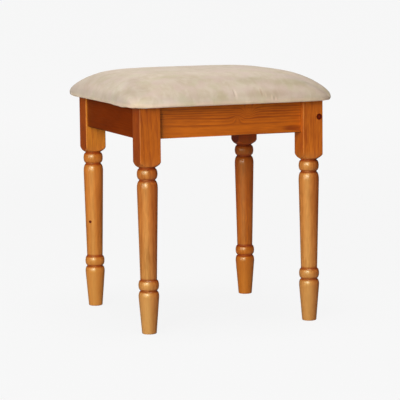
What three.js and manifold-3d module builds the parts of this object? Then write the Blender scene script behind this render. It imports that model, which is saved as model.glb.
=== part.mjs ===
// Vanity stool: four turned legs, four rails, and a padded seat that is screwed down from below.
// Millimetres, +Z up, front towards -Y. The origin is on the floor under the middle of the stool.

import * as THREE from 'three';
import { mergeVertices } from 'three/addons/utils/BufferGeometryUtils.js';
import Module from 'manifold-3d';

const wasm = await Module();
wasm.setup();

// Frame
const leg_height = 424;
const leg_span_x = 327; // between leg axes, left to right
const leg_span_y = 322; // between leg axes, front to back
const block_side = 41;
const block_length = 101.4; // square part of a leg
const arris_radius = 3; // rounded corners of the square part
const rail_height = 60;
const rail_thickness = 19;
const rail_easing = 1.5; // rounded long edges of a rail
const front_setback = 11; // front and back rails, behind the faces of the leg blocks
const side_setback = 3.5; // side rails, behind the faces of the leg blocks

// Turned part of a leg, from the floor up to the shaft
const foot_easing = 2;
const foot_end_radius = 13.8;
const foot_radius = 19.3;
const foot_height = 70; // floor to the widest ring of the foot
const foot_shoulder_height = 10.6;
const lower_cove_radius = 15.5;
const lower_cove_height = 1.6;
const lower_bead_radius = 19.2;
const lower_bead_height = 18.8;
const ankle_radius = 15.65; // thin end of the shaft
const ankle_height = 3;

// Turned part of a leg, from the square block down to the shaft
const shoulder_height = 11.4;
const neck_radius = 15.2;
const neck_height = 1.6;
const upper_bead_radius = 19.2;
const upper_bead_height = 20.2;
const upper_cove_radius = 15;
const upper_cove_height = 2;
const vase_shoulder_height = 15.4;
const vase_radius = 19.45; // thick end of the shaft

// Where the turned curves bend, as shares of each curve's run in radius and in height
const foot_bend_share = { radius: 0.69, height: 0.676 };
const foot_shoulder_bend_share = { radius: 0.97, height: 0.83 };
const shaft_bend_share = { radius: 0.776, height: 0.762 };
const vase_bend_share = { radius: 0.99, height: 0.82 };
const block_bend_share = { radius: 0.73, height: 0.49 };

// Joints and fasteners
const dowel_diameter = 8;
const dowel_length = 40;
const dowel_chamfer = 1;
const dowel_pitch = 30; // upper to lower dowel of a joint
const corner_block_height = 30;
const corner_block_drop = 2; // top of a corner block below the top of the frame
const corner_block_reach = 48; // along a rail, from the leg block
const corner_block_end = 6; // blunt end against a rail
const screw_diameter = 4;
const screw_tip = 4;
const screw_head_diameter = 8;
const screw_head_height = 2.6;
const screw_head_edge = 1.2;
const seat_screw_length = 42;
const seat_screw_inset = 11; // from the inner corner of a leg block, both ways
const block_screw_length = 25;
const block_screw_grip = 9; // corner block wood under the head
const block_screw_inset = 10; // from the blunt end of a corner block
const counterbore_diameter = 9.6;

// Seat
const seat_overhang = 25; // past the faces of the leg blocks
const seat_side = 7.5; // underside to the widest level
const seat_draw = 9; // how far the side draws in below the widest level
const seat_crown = 50.3; // widest level to the top of the crown
const tuck_depth = 1.6; // folds in the cover at the corners
const fabric_thickness = 1.2;
const hem_width = 46; // cloth turned under the board
const board_thickness = 12;
const foam_wrap = 3; // foam over the edge of the board
const dust_cloth_thickness = 0.6;
const dust_cloth_margin = 1.5; // to the rails and leg blocks

// Clearances
const joint_gap = 0.2; // between faces that meet
const hole_gap = 0.3; // round a dowel or a screw
const dowel_end_gap = 1;
const overrun = 1; // how far a cutting form passes the face it cuts

// Form of the crown: flat in the middle and rolled over at the edges
const crown_power = { x: 5.2, y: 3.6 };
const crown_root = { x: 0.52, y: 0.61 };
const plan_power = 10; // the higher, the tighter the corners of the plan
const crown_ring_shares = [0.25, 0.48, 0.68, 0.81, 0.9, 0.95, 0.98, 0.995, 1];
const tuck_start_share = 0.88; // tucks fade in from this ring outwards
const side_steps = 3;
const edge_steps = 12; // along each edge of the plan
const turn_steps = 24; // round a leg
const curve_steps = 3; // along each curve of a profile
const easing_steps = 1; // round the eased edges of a rail
const round_steps = 10; // round a dowel, a screw or a hole

// Derived levels and places
const block_half = block_side / 2;
const block_bottom = leg_height - block_length;
const neck_top = block_bottom - shoulder_height;
const upper_bead_top = neck_top - neck_height;
const upper_bead_bottom = upper_bead_top - upper_bead_height;
const upper_cove_bottom = upper_bead_bottom - upper_cove_height;
const shaft_top = upper_cove_bottom - vase_shoulder_height;
const lower_cove_bottom = foot_height + foot_shoulder_height;
const lower_bead_bottom = lower_cove_bottom + lower_cove_height;
const lower_bead_top = lower_bead_bottom + lower_bead_height;
const shaft_bottom = lower_bead_top + ankle_height;
const leg_x = leg_span_x / 2;
const leg_y = leg_span_y / 2;
const inner_x = leg_x - block_half; // inner faces of the leg blocks
const inner_y = leg_y - block_half;
const rail_middle_z = leg_height - rail_height / 2;
const side_rail_x = leg_x + block_half - side_setback - rail_thickness / 2;
const front_rail_y = leg_y + block_half - front_setback - rail_thickness / 2;
const rail_face_x = side_rail_x - rail_thickness / 2; // inner faces of the rails
const rail_face_y = front_rail_y - rail_thickness / 2;
const block_top_z = leg_height - corner_block_drop;
const block_base_z = block_top_z - corner_block_height;
const seat_half_x = leg_x + block_half + seat_overhang;
const seat_half_y = leg_y + block_half + seat_overhang;
const seat_bottom = leg_height + joint_gap;
const seat_waist = seat_bottom + seat_side;
const board_half_x = seat_half_x - seat_draw - fabric_thickness - foam_wrap;
const board_half_y = seat_half_y - seat_draw - fabric_thickness - foam_wrap;
const board_bottom = seat_bottom + fabric_thickness + joint_gap;
const board_top = board_bottom + board_thickness;
const screw_x = inner_x - seat_screw_inset;
const screw_y = inner_y - seat_screw_inset;

// Finishes
const finish = {
  leg_pine: { color: 0xb4662a, roughness: 0.34, metalness: 0 },
  front_rail_pine: { color: 0xb0622a, roughness: 0.36, metalness: 0 },
  side_rail_pine: { color: 0x8c4415, roughness: 0.36, metalness: 0 },
  block_pine: { color: 0xc9a673, roughness: 0.7, metalness: 0 },
  dowel_beech: { color: 0xd2b48a, roughness: 0.75, metalness: 0 },
  zinc_screw: { color: 0xc2bfae, roughness: 0.35, metalness: 0.9 },
  board: { color: 0xb08c5e, roughness: 0.85, metalness: 0 },
  foam: { color: 0xe8dcb0, roughness: 0.95, metalness: 0 },
  seat_fabric: { color: 0xd2c2a8, roughness: 0.95, metalness: 0 },
  dust_cloth: { color: 0x2c2a28, roughness: 0.95, metalness: 0 },
};

// Closed geometry to solid
function solid(geometry) {
  geometry.deleteAttribute('normal');
  geometry.deleteAttribute('uv');
  const merged = mergeVertices(geometry);
  const index = merged.index.array;
  const faces = [];
  for (let i = 0; i < index.length; i += 3) {
    const [a, b, c] = index.slice(i, i + 3);
    if (a !== b && b !== c && c !== a) faces.push(a, b, c);
  }
  return new wasm.Manifold(new wasm.Mesh({
    numProp: 3,
    vertProperties: new Float32Array(merged.attributes.position.array),
    triVerts: new Uint32Array(faces),
  }));
}

// Solid to geometry
function surface(form) {
  const mesh = form.getMesh();
  const geometry = new THREE.BufferGeometry();
  geometry.setAttribute('position', new THREE.BufferAttribute(mesh.vertProperties, 3));
  geometry.setIndex(new THREE.BufferAttribute(mesh.triVerts, 1));
  return geometry;
}

const axis_x = new THREE.Vector3(1, 0, 0);
const axis_y = new THREE.Vector3(0, 1, 0);
const axis_z = new THREE.Vector3(0, 0, 1);

// Turned form about an axis through a point. The path runs up the profile: x is radius, y is distance.
function turned(path, steps, along, at) {
  const form = new THREE.LatheGeometry(path.getPoints(curve_steps), steps);
  form.applyQuaternion(new THREE.Quaternion().setFromUnitVectors(axis_y, along));
  form.translate(at.x, at.y, at.z);
  return solid(form);
}

// Plain round bar from one point along an axis
function bar(radius, length, along, at) {
  const path = new THREE.Path();
  path.moveTo(0, 0);
  path.lineTo(radius, 0);
  path.lineTo(radius, length);
  path.lineTo(0, length);
  return turned(path, round_steps, along, at);
}

// Rectangle with round corners, centred
function roundedRectangle(half_u, half_v, radius) {
  const shape = new THREE.Shape();
  shape.absarc(half_u - radius, half_v - radius, radius, 0, Math.PI / 2);
  shape.absarc(radius - half_u, half_v - radius, radius, Math.PI / 2, Math.PI);
  shape.absarc(radius - half_u, radius - half_v, radius, Math.PI, 1.5 * Math.PI);
  shape.absarc(half_u - radius, radius - half_v, radius, 1.5 * Math.PI, 2 * Math.PI);
  shape.closePath();
  return shape;
}

// Flat shape raised from one level to another
function prism(shape, bottom, top) {
  const form = new THREE.ExtrudeGeometry(shape, {
    depth: top - bottom,
    bevelEnabled: false,
    curveSegments: curve_steps,
  });
  form.translate(0, 0, bottom);
  return solid(form);
}

// Profile of the turned leg, from the middle of the foot up past the block
function legProfile() {
  const clear_radius = Math.SQRT2 * block_half;
  const bend = (r0, z0, r1, z1, share) => [
    Math.min(r0, r1) + Math.abs(r1 - r0) * share.radius,
    z0 + (z1 - z0) * share.height,
    r1,
    z1,
  ];
  const bead = (path, cove_radius, radius, bottom, height) => {
    const middle = bottom + height / 2;
    const bulge = radius - cove_radius;
    path.absellipse(cove_radius, middle, bulge, height / 2, -Math.PI / 2, Math.PI / 2);
  };
  const path = new THREE.Path();
  path.moveTo(0, 0);
  path.lineTo(foot_end_radius - foot_easing, 0);
  path.quadraticCurveTo(foot_end_radius, 0, foot_end_radius, foot_easing);
  path.quadraticCurveTo(
    ...bend(foot_end_radius, foot_easing, foot_radius, foot_height, foot_bend_share),
  );
  path.quadraticCurveTo(
    ...bend(
      foot_radius, foot_height, lower_cove_radius, lower_cove_bottom, foot_shoulder_bend_share,
    ),
  );
  bead(path, lower_cove_radius, lower_bead_radius, lower_bead_bottom, lower_bead_height);
  path.lineTo(ankle_radius, shaft_bottom);
  path.quadraticCurveTo(
    ...bend(ankle_radius, shaft_bottom, vase_radius, shaft_top, shaft_bend_share),
  );
  path.quadraticCurveTo(
    ...bend(vase_radius, shaft_top, upper_cove_radius, upper_cove_bottom, vase_bend_share),
  );
  bead(path, upper_cove_radius, upper_bead_radius, upper_bead_bottom, upper_bead_height);
  path.lineTo(neck_radius, neck_top);
  path.quadraticCurveTo(
    ...bend(neck_radius, neck_top, clear_radius, block_bottom, block_bend_share),
  );
  path.lineTo(clear_radius + overrun, leg_height + overrun);
  path.lineTo(0, leg_height + overrun);
  return path;
}

// Heights of the two dowels of a joint
const dowel_levels = { upper: rail_middle_z + dowel_pitch / 2, lower: rail_middle_z - dowel_pitch / 2 };

// Hole for the dowel of a joint: from the joint face, half a dowel deep and a little more
function dowelHole(along, at) {
  const radius = dowel_diameter / 2 + hole_gap;
  const start = at.clone().addScaledVector(along, -overrun);
  return bar(radius, overrun + dowel_length / 2 + dowel_end_gap, along, start);
}

// Leg with its dowel holes. side and end are -1 or 1.
function leg(side, end) {
  const square = prism(roundedRectangle(block_half, block_half, arris_radius), 0, leg_height);
  const turning = turned(legProfile(), turn_steps, axis_z, new THREE.Vector3());
  let form = square.intersect(turning).translate([side * leg_x, end * leg_y, 0]);
  const outward_x = axis_x.clone().multiplyScalar(side);
  const outward_y = axis_y.clone().multiplyScalar(end);
  for (const z of Object.values(dowel_levels)) {
    const front_face = new THREE.Vector3(side * inner_x, end * front_rail_y, z);
    const side_face = new THREE.Vector3(side * side_rail_x, end * inner_y, z);
    form = form.subtract(dowelHole(outward_x, front_face));
    form = form.subtract(dowelHole(outward_y, side_face));
  }
  return form;
}

// Pilot holes in a rail for the screws of its two corner blocks
function railPilots(along, across, face, spread) {
  const depth = block_screw_length - block_screw_grip + overrun;
  return [-1, 1].map((way) => {
    const start = along.clone().multiplyScalar(way * spread).addScaledVector(across, face - overrun);
    start.z = (block_base_z + block_top_z) / 2;
    return bar(screw_diameter / 2 + hole_gap, depth + overrun, across, start);
  });
}

// Front or back rail. end is -1 or 1.
function crossRail(end) {
  const length = 2 * (inner_x - joint_gap);
  const section = roundedRectangle(rail_thickness / 2, rail_height / 2, rail_easing);
  const turn = new THREE.Matrix4().makeBasis(axis_y, axis_z, axis_x);
  const board = new THREE.ExtrudeGeometry(section, {
    depth: length,
    bevelEnabled: false,
    curveSegments: easing_steps,
  });
  board.translate(0, 0, -length / 2);
  board.applyMatrix4(turn);
  board.translate(0, end * front_rail_y, rail_middle_z);
  let form = solid(board);
  for (const z of Object.values(dowel_levels)) {
    for (const side of [-1, 1]) {
      const inward = axis_x.clone().multiplyScalar(-side);
      form = form.subtract(dowelHole(inward, new THREE.Vector3(side * inner_x, end * front_rail_y, z)));
    }
  }
  const outward = axis_y.clone().multiplyScalar(end);
  for (const pilot of railPilots(axis_x, outward, rail_face_y, cornerScrewSpread(inner_x))) {
    form = form.subtract(pilot);
  }
  return form;
}

// Left or right rail. side is -1 or 1.
function sideRail(side) {
  const length = 2 * (inner_y - joint_gap);
  const section = roundedRectangle(rail_thickness / 2, rail_height / 2, rail_easing);
  const turn = new THREE.Matrix4().makeBasis(axis_x.clone().negate(), axis_z, axis_y);
  const board = new THREE.ExtrudeGeometry(section, {
    depth: length,
    bevelEnabled: false,
    curveSegments: easing_steps,
  });
  board.translate(0, 0, -length / 2);
  board.applyMatrix4(turn);
  board.translate(side * side_rail_x, 0, rail_middle_z);
  let form = solid(board);
  for (const z of Object.values(dowel_levels)) {
    for (const end of [-1, 1]) {
      const inward = axis_y.clone().multiplyScalar(-end);
      form = form.subtract(dowelHole(inward, new THREE.Vector3(side * side_rail_x, end * inner_y, z)));
    }
  }
  const outward = axis_x.clone().multiplyScalar(side);
  for (const pilot of railPilots(axis_y, outward, rail_face_x, cornerScrewSpread(inner_y))) {
    form = form.subtract(pilot);
  }
  return form;
}

// Distance of a corner block's rail screw from the middle of the stool, along the rail
function cornerScrewSpread(inner) {
  return inner - corner_block_reach + block_screw_inset;
}

// Dowel centred on a joint face
function dowel(along, at) {
  const radius = dowel_diameter / 2;
  const path = new THREE.Path();
  path.moveTo(0, 0);
  path.lineTo(radius - dowel_chamfer, 0);
  path.lineTo(radius, dowel_chamfer);
  path.lineTo(radius, dowel_length - dowel_chamfer);
  path.lineTo(radius - dowel_chamfer, dowel_length);
  path.lineTo(0, dowel_length);
  return turned(path, round_steps, along, at.clone().addScaledVector(along, -dowel_length / 2));
}

// Pan head wood screw: the underside of the head is at the point, and the shank runs along the axis
function screw(length, along, at) {
  const head = screw_head_diameter / 2;
  const shank = screw_diameter / 2;
  const path = new THREE.Path();
  path.moveTo(0, 0);
  path.quadraticCurveTo(head, 0, head, screw_head_height - screw_head_edge);
  path.lineTo(head, screw_head_height);
  path.lineTo(shank, screw_head_height);
  path.lineTo(shank, screw_head_height + length - screw_tip);
  path.lineTo(0, screw_head_height + length);
  return turned(path, round_steps, along, at.clone().addScaledVector(along, -screw_head_height));
}

// Corner block, notched round a leg block, with its screw holes
function cornerBlock(side, end) {
  const near_x = inner_x - joint_gap;
  const near_y = inner_y - joint_gap;
  const wall_x = rail_face_x - joint_gap;
  const wall_y = rail_face_y - joint_gap;
  const far_x = inner_x - corner_block_reach;
  const far_y = inner_y - corner_block_reach;
  const points = [
    [near_x, wall_y],
    [near_x, near_y],
    [wall_x, near_y],
    [wall_x, far_y],
    [wall_x - corner_block_end, far_y],
    [far_x, wall_y - corner_block_end],
    [far_x, wall_y],
  ];
  const shape = new THREE.Shape(points.map(([x, y]) => new THREE.Vector2(side * x, end * y)));
  let form = prism(shape, block_base_z, block_top_z);
  const middle_z = (block_base_z + block_top_z) / 2;
  const hole = screw_diameter / 2 + hole_gap;
  const pocket = counterbore_diameter / 2;
  const outward_x = axis_x.clone().multiplyScalar(side);
  const outward_y = axis_y.clone().multiplyScalar(end);
  const down_from = new THREE.Vector3(side * screw_x, end * screw_y, block_base_z - overrun);
  form = form.subtract(bar(hole, corner_block_height + 2 * overrun, axis_z, down_from));
  const cross_head = crossScrewPoint(side, end);
  const side_head = sideScrewPoint(side, end);
  for (const [head, along] of [[cross_head, outward_y], [side_head, outward_x]]) {
    const behind = head.clone().addScaledVector(along, -corner_block_reach);
    form = form.subtract(bar(hole, block_screw_grip + overrun, along, head));
    form = form.subtract(bar(pocket, corner_block_reach, along, behind));
  }
  return form;
}

// Seat of the screw from a corner block into the front or back rail
function crossScrewPoint(side, end) {
  const z = (block_base_z + block_top_z) / 2;
  const y = rail_face_y - joint_gap - block_screw_grip;
  return new THREE.Vector3(side * cornerScrewSpread(inner_x), end * y, z);
}

// Seat of the screw from a corner block into a side rail
function sideScrewPoint(side, end) {
  const z = (block_base_z + block_top_z) / 2;
  const x = rail_face_x - joint_gap - block_screw_grip;
  return new THREE.Vector3(side * x, end * cornerScrewSpread(inner_y), z);
}

// Points round the square that the plan of the seat is drawn from
function squarePoints() {
  const points = [];
  for (let edge = 0; edge < 4; edge += 1) {
    for (let step = 0; step < edge_steps; step += 1) {
      const along = Math.sin((Math.PI / 2) * ((2 * step) / edge_steps - 1));
      const turns = [[1, along], [-along, 1], [-1, -along], [along, -1]];
      const [u, v] = turns[edge];
      points.push({ u, v, tucked: step === 1 || step === edge_steps - 1 });
    }
  }
  return points;
}

// How far a point of the square is drawn in, as a share, to round the corners of the plan
function cornerShare(u, v) {
  const far = Math.max(Math.abs(u), Math.abs(v));
  const near = Math.min(Math.abs(u), Math.abs(v));
  return (1 + (near / far) ** plan_power) ** (-1 / plan_power);
}

// Plan of the seat in another size
function seatPlan(half_x, half_y) {
  const points = squarePoints().map(({ u, v }) => {
    const round = cornerShare(u, v);
    return new THREE.Vector2(u * round * half_x, v * round * half_y);
  });
  return new THREE.Shape(points);
}

// Padded form: crown, widest level, sides drawn in below it, and a flat underside.
// skin is how far the form lies inside the outer face of the cover.
function cushion(skin) {
  const half_x = seat_half_x - skin;
  const half_y = seat_half_y - skin;
  const crown = seat_crown - skin;
  const side = seat_side - skin;
  const square = squarePoints();
  const positions = [0, 0, seat_waist + crown];
  const ring = (share, inset, height) => {
    for (const { u, v, tucked } of square) {
      const round = cornerShare(u, v);
      const fade = Math.max(0, (share - tuck_start_share) / (1 - tuck_start_share));
      const pull = inset + (tucked ? tuck_depth * fade : 0);
      const x = u * share * round * (half_x - pull);
      const y = v * share * round * (half_y - pull);
      positions.push(x, y, height(Math.abs(u * share), Math.abs(v * share)));
    }
  };
  const rise = (a, b) => {
    const over_x = (1 - a ** crown_power.x) ** crown_root.x;
    const over_y = (1 - b ** crown_power.y) ** crown_root.y;
    return seat_waist + crown * over_x * over_y;
  };
  for (const share of crown_ring_shares) ring(share, 0, rise);
  for (let step = 1; step <= side_steps; step += 1) {
    const angle = (Math.PI / 2) * (step / side_steps);
    ring(1, seat_draw * (1 - Math.cos(angle)), () => seat_waist - side * Math.sin(angle));
  }
  positions.push(0, 0, seat_waist - side);
  return solid(closedRings(positions, square.length));
}

// Faces over a top point, rings of equal count and a bottom point
function closedRings(positions, count) {
  const last = positions.length / 3 - 1;
  const rings = (last - 1) / count;
  const faces = [];
  for (let i = 0; i < count; i += 1) {
    const next = (i + 1) % count;
    faces.push(0, 1 + i, 1 + next);
    for (let r = 0; r < rings - 1; r += 1) {
      const a = 1 + r * count + i;
      const b = 1 + r * count + next;
      faces.push(a, a + count, b + count, a, b + count, b);
    }
    const base = 1 + (rings - 1) * count;
    faces.push(last, base + next, base + i);
  }
  const form = new THREE.BufferGeometry();
  form.setAttribute('position', new THREE.Float32BufferAttribute(positions, 3));
  form.setIndex(faces);
  return form;
}

// Fabric cover: a skin over the crown and sides, turned under the board and open in the middle
function seatCover() {
  const window_shape = seatPlan(board_half_x - hem_width, board_half_y - hem_width);
  const window_form = prism(window_shape, seat_bottom - overrun, board_bottom + overrun);
  return cushion(0).subtract(cushion(fabric_thickness)).subtract(window_form);
}

// Foam: fills the cover and rolls over the edge of the board
function seatFoam() {
  const pocket_shape = seatPlan(board_half_x + joint_gap, board_half_y + joint_gap);
  const pocket = prism(pocket_shape, seat_bottom - overrun, board_top + joint_gap);
  return cushion(fabric_thickness + hole_gap).subtract(pocket);
}

// Board with pilot holes for the seat screws
function seatBoard() {
  let form = prism(seatPlan(board_half_x, board_half_y), board_bottom, board_top);
  const depth = block_base_z + seat_screw_length + overrun - board_bottom;
  for (const [side, end] of corners) {
    const start = new THREE.Vector3(side * screw_x, end * screw_y, board_bottom - overrun);
    form = form.subtract(bar(screw_diameter / 2 + hole_gap, overrun + depth, axis_z, start));
  }
  return form;
}

// Dust cloth under the hem, notched at the legs and pierced by the seat screws
function dustCloth() {
  const top = seat_bottom - joint_gap;
  const bottom = top - dust_cloth_thickness;
  const wide_x = rail_face_x - dust_cloth_margin;
  const wide_y = rail_face_y - dust_cloth_margin;
  const notch_x = inner_x - dust_cloth_margin;
  const notch_y = inner_y - dust_cloth_margin;
  const points = [];
  for (const [side, end] of corners) {
    const turn = [
      [side * wide_x, end * notch_y],
      [side * notch_x, end * notch_y],
      [side * notch_x, end * wide_y],
    ];
    points.push(...(side * end > 0 ? turn : turn.reverse()));
  }
  let form = prism(new THREE.Shape(points.map(([x, y]) => new THREE.Vector2(x, y))), bottom, top);
  const hole = screw_diameter / 2 + hole_gap;
  for (const [side, end] of corners) {
    const start = new THREE.Vector3(side * screw_x, end * screw_y, bottom - overrun);
    form = form.subtract(bar(hole, dust_cloth_thickness + 2 * overrun, axis_z, start));
  }
  return form;
}

// Corners in order round the stool: which side and which end each is at
const corners = [[1, 1], [-1, 1], [-1, -1], [1, -1]];
const side_names = { '-1': 'left', '1': 'right' };
const end_names = { '-1': 'front', '1': 'back' };

const stool = new THREE.Group();

function add(name, form, look) {
  const mesh = new THREE.Mesh(surface(form), new THREE.MeshStandardMaterial(look));
  mesh.name = name;
  stool.add(mesh);
}

for (const [side, end] of corners) {
  const left_right = side_names[side];
  const front_back = end_names[end];
  const corner = `${front_back}_${left_right}`;
  const outward_x = axis_x.clone().multiplyScalar(side);
  const outward_y = axis_y.clone().multiplyScalar(end);
  const seat_screw_head = new THREE.Vector3(side * screw_x, end * screw_y, block_base_z - joint_gap);
  const cross_head = crossScrewPoint(side, end).addScaledVector(outward_y, -joint_gap);
  const side_head = sideScrewPoint(side, end).addScaledVector(outward_x, -joint_gap);
  add(`leg_${corner}`, leg(side, end), finish.leg_pine);
  add(`corner_block_${corner}`, cornerBlock(side, end), finish.block_pine);
  add(`seat_screw_${corner}`, screw(seat_screw_length, axis_z, seat_screw_head), finish.zinc_screw);
  add(
    `block_screw_${corner}_cross`,
    screw(block_screw_length, outward_y, cross_head),
    finish.zinc_screw,
  );
  add(
    `block_screw_${corner}_side`,
    screw(block_screw_length, outward_x, side_head),
    finish.zinc_screw,
  );
  for (const [level, z] of Object.entries(dowel_levels)) {
    const cross_joint = new THREE.Vector3(side * inner_x, end * front_rail_y, z);
    const side_joint = new THREE.Vector3(side * side_rail_x, end * inner_y, z);
    add(`dowel_${corner}_cross_${level}`, dowel(outward_x, cross_joint), finish.dowel_beech);
    add(`dowel_${corner}_side_${level}`, dowel(outward_y, side_joint), finish.dowel_beech);
  }
}

for (const end of [-1, 1]) add(`rail_${end_names[end]}`, crossRail(end), finish.front_rail_pine);
for (const side of [-1, 1]) add(`rail_${side_names[side]}`, sideRail(side), finish.side_rail_pine);

add('seat_board', seatBoard(), finish.board);
add('seat_foam', seatFoam(), finish.foam);
add('seat_cover', seatCover(), finish.seat_fabric);
add('dust_cloth', dustCloth(), finish.dust_cloth);

export default stool;
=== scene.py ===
# Vanity stool: a square padded seat on four turned pine legs joined by rails.
# Metres, +Z up, front towards -Y. The origin is on the floor under the middle of the stool.

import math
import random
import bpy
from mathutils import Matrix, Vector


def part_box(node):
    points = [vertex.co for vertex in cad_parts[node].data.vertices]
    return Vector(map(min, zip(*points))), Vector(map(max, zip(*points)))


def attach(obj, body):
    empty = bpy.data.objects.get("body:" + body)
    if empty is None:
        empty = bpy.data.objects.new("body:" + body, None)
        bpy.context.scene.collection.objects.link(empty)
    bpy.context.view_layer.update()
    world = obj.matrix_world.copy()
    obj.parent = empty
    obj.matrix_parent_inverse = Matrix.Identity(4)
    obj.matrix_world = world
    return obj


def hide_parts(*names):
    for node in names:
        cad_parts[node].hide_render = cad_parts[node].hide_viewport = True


bl_info = {
    "name": "Vanity Stool",
    "version": (1, 0, 0),
    "blender": (4, 5, 0),
    "location": "3D View > Sidebar > Stool",
    "description": "Makes the turned legs, rails, padded seat and studio of a vanity stool",
    "category": "Object",
}

from contextlib import contextmanager

import bmesh
import bpy
from bpy.props import FloatProperty, FloatVectorProperty, IntProperty, PointerProperty
from mathutils import Matrix, Vector, noise

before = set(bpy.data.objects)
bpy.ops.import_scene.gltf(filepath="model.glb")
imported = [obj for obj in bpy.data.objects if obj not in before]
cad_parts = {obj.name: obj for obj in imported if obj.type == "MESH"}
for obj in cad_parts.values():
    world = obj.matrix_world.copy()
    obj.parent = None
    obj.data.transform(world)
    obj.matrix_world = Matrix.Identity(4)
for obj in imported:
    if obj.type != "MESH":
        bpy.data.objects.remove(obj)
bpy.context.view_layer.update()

MM = 0.001
BODY = "root"
CORNERS = {
    "front_left": (-1, -1), "front_right": (1, -1), "back_left": (-1, 1), "back_right": (1, 1),
}


# Settings

def length(label, millimetres, note):
    """A length, given here in millimetres."""
    return FloatProperty(
        name=label, description=note, default=millimetres * MM, min=0, unit="LENGTH", precision=5
    )


def share(label, value, note):
    """A plain number."""
    return FloatProperty(name=label, description=note, default=value)


def linear(channel):
    """One channel of a screen colour, 0 to 255, as light."""
    level = channel / 255
    return level / 12.92 if level <= 0.04045 else ((level + 0.055) / 1.055) ** 2.4


def colour(label, rgb, note):
    """A colour, given here as it shows on a screen."""
    return FloatVectorProperty(
        name=label, description=note, subtype="COLOR", size=3, min=0, max=1,
        default=[linear(channel) for channel in rgb],
    )


class StoolLegSettings(bpy.types.PropertyGroup):
    """Sizes of the turned legs."""

    arris_radius: length("Arris radius", 1.5, "Rounding of the square block's corners")
    edge_softness: length("Edge softness", 1, "Sanding where the block meets the turning")
    block_length: length("Block length", 101.4, "Square part of the leg")
    foot_easing: length("Foot easing", 2, "Rounding under the foot")
    foot_end_radius: length("Foot end radius", 13.8, "Foot at the floor")
    foot_radius: length("Foot radius", 19.3, "Widest ring of the foot")
    foot_height: length("Foot height", 70, "Floor to the widest ring of the foot")
    foot_shoulder: length("Foot shoulder", 10.6, "Widest ring of the foot up to the cove")
    lower_cove_radius: length("Lower cove radius", 15.5, "Groove over the foot")
    lower_cove_height: length("Lower cove height", 1.6, "Groove over the foot")
    lower_bead_radius: length("Lower bead radius", 19.2, "Bead over the foot")
    lower_bead_height: length("Lower bead height", 18.8, "Bead over the foot")
    ankle_radius: length("Ankle radius", 15.65, "Thin end of the shaft")
    ankle_height: length("Ankle height", 3, "Straight part at the thin end")
    shoulder_height: length("Shoulder height", 11.4, "Turning from the neck out to the block")
    neck_radius: length("Neck radius", 15.2, "Under the block")
    neck_height: length("Neck height", 1.6, "Under the block")
    upper_bead_radius: length("Upper bead radius", 19.2, "Bead under the neck")
    upper_bead_height: length("Upper bead height", 20.2, "Bead under the neck")
    upper_cove_radius: length("Upper cove radius", 15, "Groove under the upper bead")
    upper_cove_height: length("Upper cove height", 2, "Groove under the upper bead")
    vase_shoulder: length("Vase shoulder", 15.4, "Groove down to the thick end of the shaft")
    vase_radius: length("Vase radius", 19.45, "Thick end of the shaft")
    columns: IntProperty(name="Columns", description="Faces round a leg", default=144, min=8)
    crowding: share("Crowding", 0.72, "How far the faces crowd towards the arrises")


class StoolSeatSettings(bpy.types.PropertyGroup):
    """Sizes of the padded seat."""

    side: length("Side", 7.5, "Underside up to the widest level")
    draw: length("Draw", 9, "How far the side draws in below the widest level")
    fabric: length("Fabric", 1.2, "Thickness of the cover")
    hem: length("Hem", 46, "Cloth turned under the board")
    gap: length("Gap", 0.3, "Between the cover and the foam")
    crown_power_x: share("Crown power across", 5.2, "How flat the crown stays across")
    crown_power_y: share("Crown power in depth", 3.6, "How flat the crown stays in depth")
    crown_root_x: share("Crown root across", 0.52, "How round the crown ends across")
    crown_root_y: share("Crown root in depth", 0.61, "How round the crown ends in depth")
    plan_power: share("Plan power", 10, "The higher, the tighter the corners of the plan")
    lip_power: share("Lip power", 0.62, "The lower, the squarer the lip")
    cells: IntProperty(name="Cells", description="Cells from the middle to an edge", default=34)
    corner_fill: length("Corner fill", 2.3, "How much fuller the cloth stands at its corners")
    swell: length("Swell", 2, "How far the cloth may move while it settles")
    pleat: length("Pleat", 1.3, "Depth of the folds near the corners")
    sag: length("Sag", 2.6, "How far the folds hang below the seat")
    hang: length("Hang", 0.3, "How far the cover's lip hangs below the seat")
    lift: length("Lift", 1.2, "How far the lip is drawn up on the left side")
    pull: length("Pull", 1.4, "How far the pad was pulled to the left over its board")


class StoolColourSettings(bpy.types.PropertyGroup):
    """Colours of the stool."""

    early_wood: colour("Early wood", (210, 112, 24), "Pale part of a ring in a leg's block")
    late_wood: colour("Late wood", (160, 60, 3), "Dark part of a ring in a leg's block")
    turned_early_wood: colour("Turned early wood", (202, 117, 47), "Pale part in the turning")
    turned_late_wood: colour("Turned late wood", (160, 78, 16), "Dark part in the turning")
    rail_early_wood: colour("Rail early wood", (204, 100, 6), "Pale part of a ring in a rail")
    rail_late_wood: colour("Rail late wood", (140, 46, 0), "Dark part of a ring in a rail")
    side_early_wood: colour("Side early wood", (131, 50, 2), "Pale part in a side rail")
    side_late_wood: colour("Side late wood", (101, 31, 1), "Dark part in a side rail")
    knot: colour("Knot", (88, 4, 0), "Dark ring of a knot")
    bare_early_wood: colour("Bare early wood", (222, 190, 140), "Pale part in the bare blocks")
    bare_late_wood: colour("Bare late wood", (190, 142, 86), "Dark part in the bare blocks")
    beech: colour("Beech", (214, 184, 142), "Dowels")
    board: colour("Board", (176, 140, 96), "Fibre board under the foam")
    zinc: colour("Zinc", (206, 202, 188), "Screws and staples")
    foam: colour("Foam", (236, 222, 172), "Cut foam")
    fabric: colour("Fabric", (190, 174, 153), "Cover of the seat")
    fabric_shade: colour("Fabric shade", (178, 161, 137), "Cover where the nap lies away")
    fabric_light: colour("Fabric light", (199, 185, 167), "Cover where the nap stands")
    fabric_pink: colour("Fabric pink", (193, 171, 159), "Warm cast in the cover")
    fabric_green: colour("Fabric green", (182, 173, 144), "Green cast in the cover")
    lining: colour("Lining", (42, 40, 38), "Cloth under the seat")


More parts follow.
